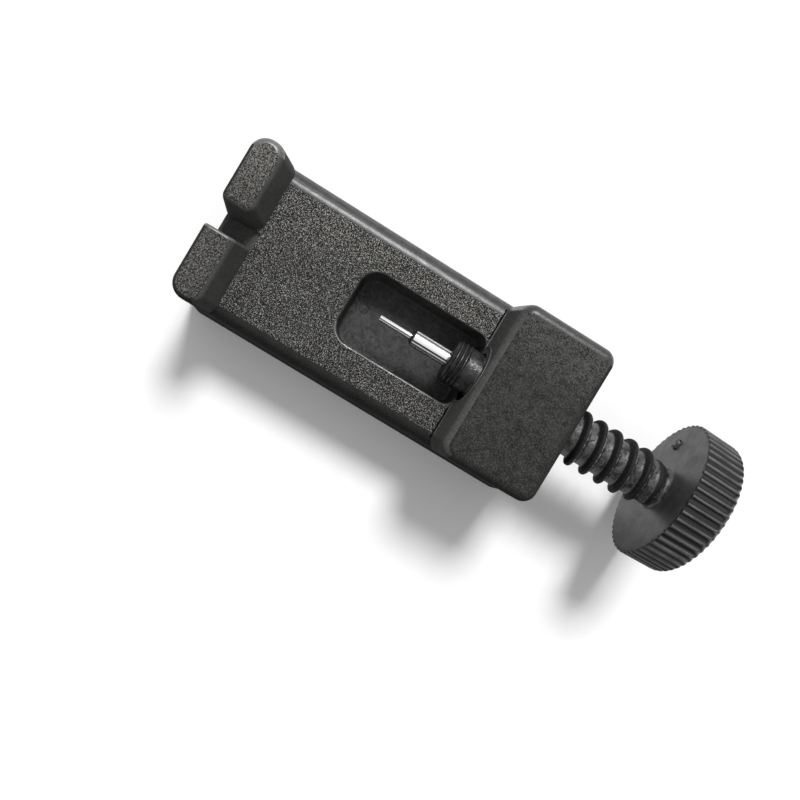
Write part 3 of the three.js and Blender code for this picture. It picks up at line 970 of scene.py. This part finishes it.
def flash_line():
    """The thin raised line where the mould's slide met the deck, and round the rim of the hole."""
    radius = CREST_RADIUS + HOLE_FLASH_GAP
    drop = AXIS_HEIGHT - DECK_TOP
    turn = math.asin(drop / radius)
    reach = radius * math.cos(turn)
    arc = bmesh.new()
    ring = bmesh.ops.create_circle(arc, radius=HOLE_FLASH_WIRE, segments=8)["verts"]
    bmesh.ops.translate(arc, verts=ring, vec=(0, radius, 0))
    bmesh.ops.rotate(arc, verts=ring, cent=(0, 0, 0), matrix=Matrix.Rotation(-turn, 3, "X"))
    bmesh.ops.spin(
        arc, geom=arc.verts[:] + arc.edges[:], cent=(0, 0, 0), axis=(1, 0, 0), dvec=(0, 0, 0),
        angle=math.pi + 2 * turn, steps=48, use_merge=False, use_duplicate=False,
    )
    for side in (1, -1):
        close(arc, [e for e in arc.edges if e.is_boundary and e.verts[0].co.y * side > 0])
    shift(arc, BLOCK_FRONT, 0, AXIS_HEIGHT)
    lean = BLOCK_LEAN / (BLOCK_TOP - DECK_TOP)
    for v in arc.verts:
        v.co.x += lean * (v.co.z - DECK_TOP)
    outer = HALF_DECK - FLASH_SHORT_OF_SIDE
    sides = []
    for side in (1, -1):
        bm = bmesh.new()
        bmesh.ops.create_cone(
            bm, cap_ends=True, segments=12, radius1=FLASH_WIRE, radius2=FLASH_WIRE,
            depth=outer - reach,
        )
        rotate(bm, 90, "X")
        shift(bm, BLOCK_FRONT + FLASH_OUT, side * (outer + reach) / 2, DECK_TOP + FLASH_UP)
        # Painted light: the +Y bead and the arc round the hole are painted pale as a highlight, and
        # the -Y bead gets the lighter wall plastic.
        sides.append(paint(bm, FLASH if side > 0 else FLANK))
    whole = joined(paint(arc, FLASH), *sides)
    bmesh.ops.recalc_face_normals(whole, faces=whole.faces[:])
    return whole


def body_moulding():
    """The whole body: low part, posts and block joined, and then everything that is cut."""
    bm = deck_with_pocket()
    for part in (post(1), post(-1), screw_block()):
        bm = combined(bm, part, "UNION")
    for cut in (gap_groove(), seam(1), seam(-1)):
        bm = combined(bm, cut, "DIFFERENCE")
    front_rib = POCKET_FRONT - HALF_RIB
    back_rib = BLOCK_FRONT - HALF_RIB
    spans = [
        (-FOOT_FLARE + WALL_THICKNESS, front_rib - HALF_RIB),
        (front_rib + HALF_RIB, back_rib),
        (back_rib + 2 * HALF_RIB, DECK_LENGTH + FOOT_FLARE - WALL_THICKNESS),
    ]
    for (x0, x1), top in zip(spans, CELL_TOPS):
        bm = combined(bm, cell(x0, x1, top), "DIFFERENCE")
    bm = combined(bm, bore(), "DIFFERENCE")
    bm = combined(bm, countersink(), "DIFFERENCE")
    return joined(bm, flash_line(), mark_on_pocket_floor())


def knob():
    """The knurled knob. One rib is drawn and repeated about the axis, and the ring that this
    makes is carried on from row to row, each vertex keeping its depth below the ribs' crests."""
    bm = bmesh.new()
    line = []
    for share, depth in RIB_OUTLINE:
        turn = share * math.tau / RIBS
        r = KNOB_RADIUS - KNURL_DEPTH * depth
        line.append(bm.verts.new((0, r * math.cos(turn), r * math.sin(turn))))
    edges = [bm.edges.new(pair) for pair in zip(line, line[1:])]
    bmesh.ops.spin(
        bm, geom=line + edges, cent=(0, 0, 0), axis=(1, 0, 0), dvec=(0, 0, 0),
        angle=math.tau * (RIBS - 1) / RIBS, steps=RIBS - 1, use_merge=False, use_duplicate=True,
    )
    bmesh.ops.remove_doubles(bm, verts=bm.verts[:], dist=KNURL_WELD)
    depths = {v: KNOB_RADIUS - math.hypot(v.co.y, v.co.z) for v in bm.verts}
    stations = list(KNURL_START)
    rounds = 8
    thickness = KNOB_BACK - KNOB_FACE
    flat = thickness - KNOB_EDGE_ROUND
    for k in range(rounds + 1):
        turn = k / rounds * math.pi / 2
        inset = KNOB_TAPER + KNOB_EDGE_ROUND * (1 - math.cos(turn))
        fade = math.cos(turn) ** KNURL_FADE
        stations.append((flat + KNOB_EDGE_ROUND * math.sin(turn), inset, fade))
    start = bm.edges[:]
    for v in bm.verts:
        r = KNOB_RADIUS - FRONT_ROW_INSET - depths[v] * FRONT_ROW_DEPTH
        scale = r / (KNOB_RADIUS - depths[v])
        v.co = (0, v.co.y * scale, v.co.z * scale)
    loop = start
    for x, inset, depth in stations:
        out = bmesh.ops.extrude_edge_only(bm, edges=loop)["geom"]
        passed_on = {}
        for v in (g for g in out if isinstance(g, bmesh.types.BMVert)):
            old = next(e.other_vert(v) for e in v.link_edges if e.other_vert(v) in depths)
            passed_on[v] = depths[old]
            turn = math.atan2(v.co.z, v.co.y)
            r = KNOB_RADIUS - inset - passed_on[v] * depth
            v.co = (x, r * math.cos(turn), r * math.sin(turn))
        depths = passed_on
        loop = [g for g in out if isinstance(g, bmesh.types.BMEdge) and g.is_boundary]
    close(bm, carry_on(bm, loop, [
        (thickness, BACK_RADIUS), (thickness, DIMPLE_RADIUS),
        (thickness - DIMPLE_DEPTH, DIMPLE_FLOOR_RADIUS),
    ]))
    front = [e for e in start if e.is_boundary]
    close(bm, carry_on(bm, front, [(0, radius) for radius in FACE_RADII]))
    bmesh.ops.recalc_face_normals(bm, faces=bm.faces[:])
    shift(bm, KNOB_FACE, 0, AXIS_HEIGHT)
    return bm


def screw_shank():
    """Nose with its fine rings and socket, thread, and the fillet into the knob."""
    bm = threaded_rod(
        SHANK_START, SHANK_END, fade_in=THREAD_FADES_IN, fade_out=THREAD_FADES_OUT
    )
    stations = [(NOSE_RINGS_TO, ROOT_RADIUS)]
    for ring in reversed(range(NOSE_RINGS)):
        x = NOSE_RINGS_FROM + NOSE_RING_PITCH * (ring + 0.5)
        stations += [(x + past, ROOT_RADIUS + height) for past, height in NOSE_RING_OUTLINE]
    stations += [(NOSE + past, ROOT_RADIUS + height) for past, height in NOSE_END_OUTLINE]
    stations += [
        (NOSE, SOCKET_RADIUS + SOCKET_CHAMFER), (NOSE + SOCKET_CHAMFER, SOCKET_RADIUS),
        (NOSE + SOCKET_DEPTH, SOCKET_RADIUS), (NOSE + SOCKET_CONE_TIP, 0.05),
    ]
    close(bm, carry_on(bm, end_loop(bm, SHANK_START), stations))
    stations = [(x, ROOT_RADIUS + height) for x, height in FILLET_OUTLINE]
    close(bm, carry_on(bm, end_loop(bm, SHANK_END), stations))
    bmesh.ops.recalc_face_normals(bm, faces=bm.faces[:])
    for face in paint(bm, ROOT).faces:
        middle = face.calc_center_median()
        height = math.hypot(middle.y, middle.z) - ROOT_RADIUS
        past = past_crest(middle)
        # Painted shade: the nose gets a darker copy of the root plastic.
        if middle.x < THREAD_FADES_IN[0]:
            face.material_index = NOSE_SKIN
        if not THREAD_FADES_IN[0] < middle.x < SHANK_END or height < CREST_FOOT_HEIGHT:
            continue
        # Painted light: crests are painted near-black as shade, and their corner on the knob's side
        # pale as a highlight.
        lit = CREST_EDGE_FROM < past < CREST_EDGE_TO and height > CREST_EDGE_HEIGHT
        face.material_index = CREST_EDGE if lit else CREST
    shift(bm, 0, 0, AXIS_HEIGHT)
    return bm


def pin_ring(radius):
    """A ring lying flat: the mark that a mould's ejector pin leaves."""
    bm = bmesh.new()
    bmesh.ops.create_circle(bm, radius=MARK_WIRE, segments=8)
    rotate(bm, 90, "X")
    shift(bm, radius, 0, 0)
    bmesh.ops.spin(
        bm, geom=bm.verts[:] + bm.edges[:], cent=(0, 0, 0), axis=(0, 0, 1), dvec=(0, 0, 0),
        angle=math.tau, steps=32, use_merge=True, use_duplicate=False,
    )
    bmesh.ops.remove_doubles(bm, verts=bm.verts[:], dist=WELD)
    bmesh.ops.recalc_face_normals(bm, faces=bm.faces[:])
    return bm


def mark_on_root(x, degrees):
    """A pin's mark laid round the shank, at x and at degrees about the axis from +Y."""
    bm = pin_ring(ROOT_MARK_RADIUS)
    shift(bm, x, 0, ROOT_RADIUS)
    for v in bm.verts:
        v.co.z -= ROOT_RADIUS - math.sqrt(ROOT_RADIUS ** 2 - v.co.y ** 2)
    rotate(bm, degrees - 90, "X")
    shift(bm, 0, 0, AXIS_HEIGHT)
    return paint(bm, ROOT)


def mark_on_pocket_floor():
    """A pin's mark half sunk in the floor of the pocket."""
    bm = pin_ring(FLOOR_MARK_RADIUS)
    shift(bm, *FLOOR_MARK_PLACE, POCKET_FLOOR)
    return paint(bm, SMOOTH)


def gate_mark():
    """The low, torn stub on the knob's face where the plastic was let into the mould."""
    bm = bmesh.new()
    bmesh.ops.create_cone(
        bm, cap_ends=True, segments=20, radius1=GATE_RADIUS, radius2=GATE_TOP_RADIUS,
        depth=2 * GATE_HEIGHT,
    )
    bevel(bm, [e for e in bm.edges if all(v.co.z > 0 for v in e.verts)], GATE_ROUND, 3)
    bmesh.ops.triangulate(bm, faces=bm.faces[:])
    bmesh.ops.subdivide_edges(bm, edges=bm.edges[:], cuts=2)
    for v in bm.verts:
        if v.co.z > 0:
            torn = math.sin(9 * v.co.x + 2) * math.cos(11 * v.co.y) + math.sin(17 * v.co.x * v.co.y)
            v.co.z *= 1 + GATE_TORN * torn
            v.co.y *= GATE_STRETCH
    bmesh.ops.recalc_face_normals(bm, faces=bm.faces[:])
    rotate(bm, -90, "Y")
    shift(bm, KNOB_FACE, *GATE_PLACE)
    return paint(bm, ROOT)


def steel_holder():
    """A sleeve with a chamfered front end and a blind hole for the pin."""
    front, back = HOLDER_FRONT, HOLDER_BACK
    floor = front + HOLDER_BORE_DEPTH
    mouth = PIN_RADIUS + PIN_FIT
    sleeve = turned([
        (floor, 0), (floor, mouth), (front + 0.05, mouth), (front, mouth + 0.05),
        (front, 0.6), (front + 0.04, 0.66), (front + 0.36, 1.0), (front + 0.42, 1.04),
        (front + 0.5, HOLDER_RADIUS), (back - 0.12, HOLDER_RADIUS), (back, 0.93), (back, 0),
    ], 72)
    for face in sleeve.faces:
        face.material_index = TURNED_END if face.normal.x < -FACES else GROUND
    return sleeve


def steel_pin():
    """The thin pin, slightly rounded at its tip."""
    return turned([
        (PIN_TIP, 0), (PIN_TIP, 0.3), (PIN_TIP + 0.03, 0.36), (PIN_TIP + 0.09, PIN_RADIUS),
        (PIN_BACK, PIN_RADIUS), (PIN_BACK, 0),
    ], 48)


# The finishes stand in the order of the material numbers.
body_finishes = [
    coarse_grain("black_plastic_deck_grain", size=0.118, low=0.8, high=0.92, light=0.43),
    coarse_grain("black_plastic_post_grain", size=0.165, low=0.66, high=0.98, light=0.25),
    fine_grain(),
    smooth_mottled(),
    # The rim's painted highlight fades out towards the block, where the rim lies in shade.
    pale_painted_highlight("black_plastic_rim_painted_highlight", fades=(31.5, 35)),
    pale_painted_highlight("black_plastic_flash_line_painted_highlight"),
    smooth_edge(),
    matt_wall("black_plastic_matt_wall", light=0.06),
    # A lighter copy of the wall plastic: painted light on the flanks, front faces, the gap and the
    # pocket's shaded +Y wall.
    matt_wall("black_plastic_wall_painted_lighter", light=0.15),
    shut_line(),
]
screw_finishes = [
    screw_gloss("black_plastic_half_gloss", light=0.085, uneven=0.1),
    # A darker copy of the root plastic for the nose: painted shade.
    screw_gloss("black_plastic_nose_painted_shade", light=0.016, uneven=0.06),
    crest_painted_shade(),
    crest_edge_painted_highlight(),
    knob_satin(),
]

body = finished("body_moulding", body_moulding(), body_finishes)
screw_moulding = joined(
    screw_shank(), *(mark_on_root(*place) for place in ROOT_MARKS), paint(knob(), KNOB), gate_mark()
)
screw = finished("thumbscrew_moulding", screw_moulding, screw_finishes)
holder = finished("pin_holder_steel", steel_holder(), [
    ground_steel(
        "bright_ground_steel", drawn=0.6,
        painted_reflection_lines=[(50, 7), (113, 8), (139, 9)], matt_lines=[(30, 12), (126, 7)],
    ),
    turned_steel(),
])
pin = finished("pusher_pin_steel", steel_pin(), [
    ground_steel(
        "bright_drawn_steel", drawn=0.9,
        painted_reflection_lines=[(108, 12), (168, 36)], matt_lines=[(124, 7)],
    ),
])

for piece, rides_on, stands_for, finish in (
    (body, "body", "body", "body_plastic"),
    (screw, "thumbscrew", "thumbscrew", "screw_plastic"),
    (holder, "pin_carrier", "pin_holder", "bright_steel"),
    (pin, "pin_carrier", "pusher_pin", "bright_steel"),
):
    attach(piece, rides_on)
    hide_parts(stands_for)


# Floor

sheet = bmesh.new()
bmesh.ops.create_grid(sheet, x_segments=2, y_segments=2, size=PAPER_HALF_WIDTH * MM)
floor_mesh = bpy.data.meshes.new("paper")
sheet.to_mesh(floor_mesh)
sheet.free()
floor_mesh.materials.append(floor_paper())
floor = bpy.data.objects.new("paper", floor_mesh)
bpy.context.scene.collection.objects.link(floor)


# Light and camera

def studio_world():
    """White all round to the eye; as light, it comes from above and from the window's side."""
    world = bpy.data.worlds.new("studio")
    bpy.context.scene.world = world
    world.use_nodes = True
    tree = world.node_tree

    def step(kind, a, b):
        return add_node(tree, "ShaderNodeMath", {0: a, 1: b}, operation=kind).outputs[0]

    path = tree.nodes.new("ShaderNodeLightPath").outputs
    mirrored = step("MAXIMUM", path["Is Glossy Ray"], path["Is Transmission Ray"])
    toward = tree.nodes.new("ShaderNodeTexCoord").outputs["Generated"]
    facing = add_node(
        tree, "ShaderNodeVectorMath", {0: toward, 1: Vector(SKY_TOWARD).normalized()},
        operation="DOT_PRODUCT",
    ).outputs["Value"]
    shade = add_node(tree, "ShaderNodeMapRange", {
        "Value": facing, "From Min": 0.1, "From Max": 0.9, "To Min": SKY_AT_FLOOR, "To Max": 1,
    }).outputs["Result"]
    level = add_node(tree, "ShaderNodeMapRange", {
        "Value": mirrored, "To Min": SKY_AS_LIGHT, "To Max": 1,
    }).outputs["Result"]
    strength = step("MAXIMUM", step("MULTIPLY", shade, level), path["Is Camera Ray"])
    background = tree.nodes["Background"]
    feed(tree, background.inputs["Color"], (1, 1, 1, 1))
    feed(tree, background.inputs["Strength"], strength)


def window_lamp():
    """The one lamp, as soft as a window, which casts the shadow."""
    data = bpy.data.lights.new("window", "SUN")
    data.energy = WINDOW_STRENGTH
    data.angle = math.radians(WINDOW_SOFTNESS)
    lamp = bpy.data.objects.new("window", data)
    lamp.rotation_euler = Vector(WINDOW).to_track_quat("Z", "Y").to_euler()
    bpy.context.scene.collection.objects.link(lamp)


studio_world()
window_lamp()

camera_data = bpy.data.cameras.new("camera")
camera_data.sensor_width = SENSOR_WIDTH
camera_data.lens = FOCAL_LENGTH / PICTURE_WIDTH * SENSOR_WIDTH
camera_data.shift_x = (PICTURE_WIDTH / 2 - PICTURE_CENTRE[0]) / PICTURE_WIDTH
camera_data.shift_y = (PICTURE_CENTRE[1] - PICTURE_WIDTH / 2) / PICTURE_WIDTH
camera_data.clip_start = 0.005
camera_data.clip_end = 20
camera = bpy.data.objects.new("camera", camera_data)
x, y, z = CAMERA_PLACE
camera.location = ((x - FRONT_EDGE_TO_ORIGIN) * MM, y * MM, z * MM)
camera.rotation_euler = [math.radians(turn) for turn in CAMERA_TURNS]
bpy.context.scene.collection.objects.link(camera)
bpy.context.scene.camera = camera

bpy.context.scene.view_settings.view_transform = "Standard"
